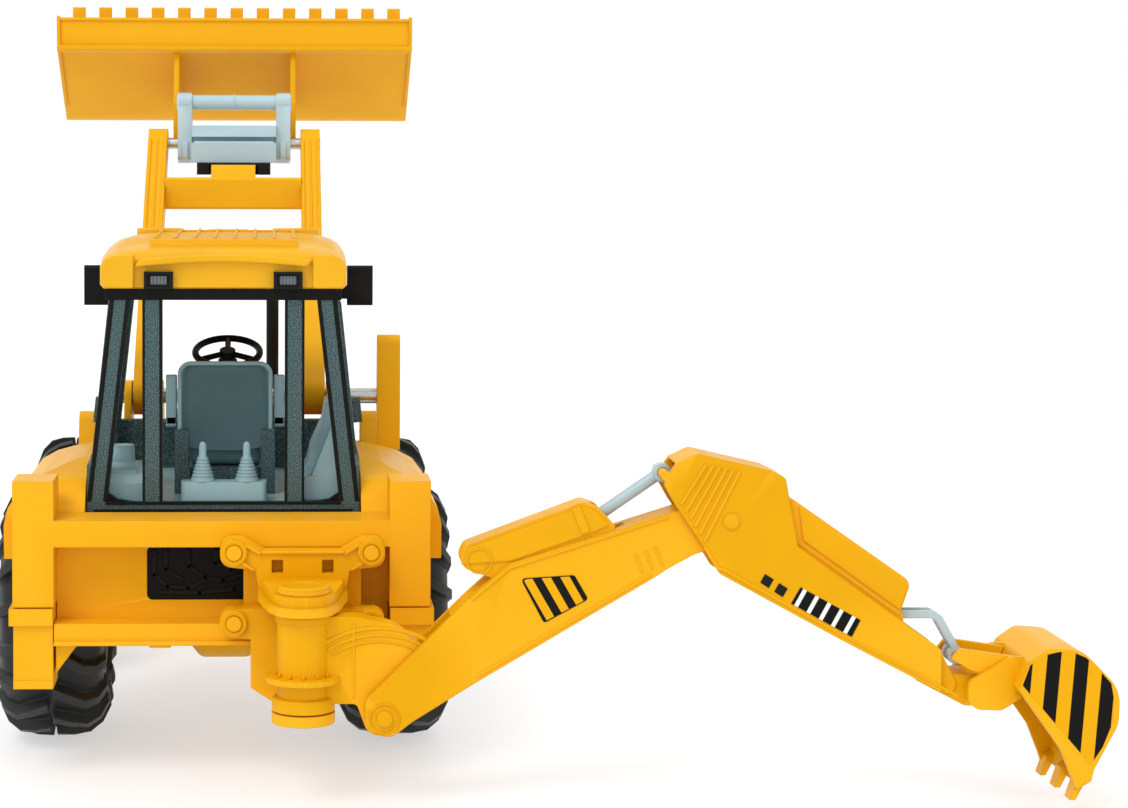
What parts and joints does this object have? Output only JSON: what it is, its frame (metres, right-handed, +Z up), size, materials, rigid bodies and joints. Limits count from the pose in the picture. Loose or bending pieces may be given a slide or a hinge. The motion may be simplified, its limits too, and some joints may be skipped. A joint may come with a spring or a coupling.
{
  "type": "toy backhoe loader",
  "caption": "Toy backhoe loader with a raised front bucket, an open cab, lug tyres, sliding stabilisers and a slewing rear digging arm on a side-shift carriage.",
  "frame": {"origin": "on the ground, under the middle of the rear axle", "axes": "+X to the vehicle's right, +Y forwards, +Z up"},
  "size_m": [0.3722, 0.408, 0.2784],
  "materials": {
    "yellow_plastic": "moulded yellow, semi-gloss, with a fine texture",
    "roof_yellow_plastic": "moulded yellow, semi-gloss",
    "dark_grey_plastic": "moulded dark grey, fine spark texture",
    "grey_plastic": "moulded blue-grey, satin",
    "black_plastic": "moulded black, satin",
    "wheel_tyre": "moulded black tyre with deep lugs",
    "rim_plastic": "moulded grey rim, satin",
    "silver_plastic": "silver-grey, bright satin",
    "steel": "plain steel rod and bolts",
    "clear_lens": "clear moulded lens"
  },
  "bodies": {
    "chassis": {"chassis_frame": "yellow_plastic", "rear_frame": "yellow_plastic", "rear_hose_panel": "black_plastic", "rear_axle_housing": "yellow_plastic", "rear_axle_rod": "steel", "front_axle_beam": "yellow_plastic", "engine_hood": "yellow_plastic", "front_grille": "black_plastic", "headlights": "clear_lens", "exhaust_pipe": "black_plastic", "rear_fender_left": "yellow_plastic", "rear_fender_right": "yellow_plastic", "loader_towers": "yellow_plastic", "side_tanks": "black_plastic", "side_cowls": "yellow_plastic", "cab_floor": "grey_plastic", "cab_frame": "dark_grey_plastic", "cab_roof": "roof_yellow_plastic", "work_light_housings": "black_plastic", "work_light_lenses": "clear_lens", "mirrors": "black_plastic", "driver_seat": "grey_plastic", "seat_base": "dark_grey_plastic", "backhoe_levers": "black_plastic", "steering_column": "black_plastic"},
    "door_left": {"door_left": "dark_grey_plastic"},
    "door_right": {"door_right": "dark_grey_plastic"},
    "steering_wheel": {"steering_wheel": "black_plastic"},
    "rear_left_wheel": {"rear_left_tyre": "wheel_tyre", "rear_left_rim": "rim_plastic"},
    "front_left_wheel": {"front_left_tyre": "wheel_tyre", "front_left_rim": "rim_plastic"},
    "knuckle_left": {"knuckle_left": "black_plastic"},
    "stabiliser_left": {"stabiliser_leg_left": "yellow_plastic"},
    "rear_right_wheel": {"rear_right_tyre": "wheel_tyre", "rear_right_rim": "rim_plastic"},
    "front_right_wheel": {"front_right_tyre": "wheel_tyre", "front_right_rim": "rim_plastic"},
    "knuckle_right": {"knuckle_right": "black_plastic"},
    "stabiliser_right": {"stabiliser_leg_right": "yellow_plastic"},
    "tie_rod": {"tie_rod": "black_plastic"},
    "loader_arms": {"loader_arm_left": "yellow_plastic", "loader_arm_right": "yellow_plastic", "arm_cross_beam": "yellow_plastic", "arm_pivot_shaft": "steel", "loader_lever": "yellow_plastic"},
    "loader_bucket": {"loader_bucket": "yellow_plastic", "quick_hitch": "silver_plastic", "hitch_pins": "steel", "tilt_detent": "black_plastic"},
    "carriage": {"slide_carriage": "yellow_plastic", "carriage_bolts": "yellow_plastic"},
    "swing_post": {"swing_post": "yellow_plastic", "slew_pin": "yellow_plastic"},
    "boom": {"boom": "yellow_plastic"},
    "dipper": {"dipper": "yellow_plastic"},
    "dipper_rod": {"dipper_rod": "silver_plastic"},
    "backhoe_bucket": {"backhoe_bucket": "yellow_plastic", "bucket_link_plate": "yellow_plastic"},
    "bucket_rod": {"bucket_rod": "silver_plastic"}
  },
  "joints": [
    {"name": "rear_left_roll", "type": "hinge", "parent": "chassis", "child": "rear_left_wheel", "pos_m": [-0.061, 0, 0.046], "axis": [1, 0, 0], "continuous": true},
    {"name": "rear_right_roll", "type": "hinge", "parent": "chassis", "child": "rear_right_wheel", "pos_m": [0.061, 0, 0.046], "axis": [1, 0, 0], "continuous": true},
    {"name": "steer_left", "type": "hinge", "parent": "chassis", "child": "knuckle_left", "pos_m": [-0.043, 0.14, 0.046], "axis": [0, 0, 1], "range_deg": [-15, 15]},
    {"name": "steer_right", "type": "hinge", "parent": "chassis", "child": "knuckle_right", "pos_m": [0.043, 0.14, 0.046], "axis": [0, 0, 1], "range_deg": [-15, 15]},
    {"name": "front_left_roll", "type": "hinge", "parent": "knuckle_left", "child": "front_left_wheel", "pos_m": [-0.065, 0.14, 0.046], "axis": [1, 0, 0], "continuous": true},
    {"name": "front_right_roll", "type": "hinge", "parent": "knuckle_right", "child": "front_right_wheel", "pos_m": [0.065, 0.14, 0.046], "axis": [1, 0, 0], "continuous": true},
    {"name": "tie_rod_slide", "type": "slide", "parent": "chassis", "child": "tie_rod", "axis": [1, 0, 0], "range_m": [-0.0046, 0.0046]},
    {"name": "steering_wheel_turn", "type": "hinge", "parent": "chassis", "child": "steering_wheel", "pos_m": [0, 0.038, 0.134], "axis": [0, -0.36, 0.933], "range_deg": [-60.5, 60.5]},
    {"name": "door_left_hinge", "type": "hinge", "parent": "chassis", "child": "door_left", "pos_m": [-0.047, -0.0076, 0.1052], "axis": [0.1051, 0, 0.9945], "range_deg": [0, 65]},
    {"name": "door_right_hinge", "type": "hinge", "parent": "chassis", "child": "door_right", "pos_m": [0.047, -0.0076, 0.1052], "axis": [-0.1051, 0, 0.9945], "range_deg": [-65, 0]},
    {"name": "stabiliser_left_slide", "type": "slide", "parent": "chassis", "child": "stabiliser_left", "axis": [0, 0, 1], "range_m": [-0.03, 0]},
    {"name": "stabiliser_right_slide", "type": "slide", "parent": "chassis", "child": "stabiliser_right", "axis": [0, 0, 1], "range_m": [-0.03, 0]},
    {"name": "loader_lift", "type": "hinge", "parent": "chassis", "child": "loader_arms", "pos_m": [0, 0.078, 0.116], "axis": [1, 0, 0], "range_deg": [-52.4, 0]},
    {"name": "loader_tilt", "type": "hinge", "parent": "loader_arms", "child": "loader_bucket", "pos_m": [0, 0.206, 0.215], "axis": [-1, 0, 0], "range_deg": [0, 110]},
    {"name": "side_shift", "type": "slide", "parent": "chassis", "child": "carriage", "axis": [1, 0, 0], "range_m": [-0.0545, 0]},
    {"name": "swing", "type": "hinge", "parent": "carriage", "child": "swing_post", "pos_m": [0.0273, -0.104, 0.05], "axis": [0, 0, 1], "range_deg": [-180, 0]},
    {"name": "boom_lift", "type": "hinge", "parent": "swing_post", "child": "boom", "pos_m": [0.0537, -0.104, 0.0298], "axis": [0, -1, 0], "range_deg": [-25, 40]},
    {"name": "dipper_fold", "type": "hinge", "parent": "boom", "child": "dipper", "pos_m": [0.166, -0.104, 0.0947], "axis": [0, -1, 0], "range_deg": [-66, 12]},
    {"name": "dipper_rod_turn", "type": "hinge", "parent": "dipper", "child": "dipper_rod", "pos_m": [0.1445, -0.104, 0.1096], "axis": [0, -1, 0], "range_deg": [-12, 62]},
    {"name": "bucket_curl", "type": "hinge", "parent": "dipper", "child": "backhoe_bucket", "pos_m": [0.2488, -0.104, 0.0383], "axis": [0, -1, 0], "range_deg": [-80, 10]},
    {"name": "bucket_rod_turn", "type": "hinge", "parent": "backhoe_bucket", "child": "bucket_rod", "pos_m": [0.2419, -0.104, 0.0492], "axis": [0, -1, 0], "range_deg": [-12, 92]}
  ],
  "couplings": [
    {"joint": "steer_right", "follows": "steer_left", "ratio": 1},
    {"joint": "tie_rod_slide", "follows": "steer_left", "m_per_rad": 0.017},
    {"joint": "steering_wheel_turn", "follows": "steer_left", "ratio": 4},
    {"joint": "dipper_rod_turn", "follows": "dipper_fold", "ratio": -0.93},
    {"joint": "bucket_rod_turn", "follows": "bucket_curl", "ratio": -1.14}
  ]
}
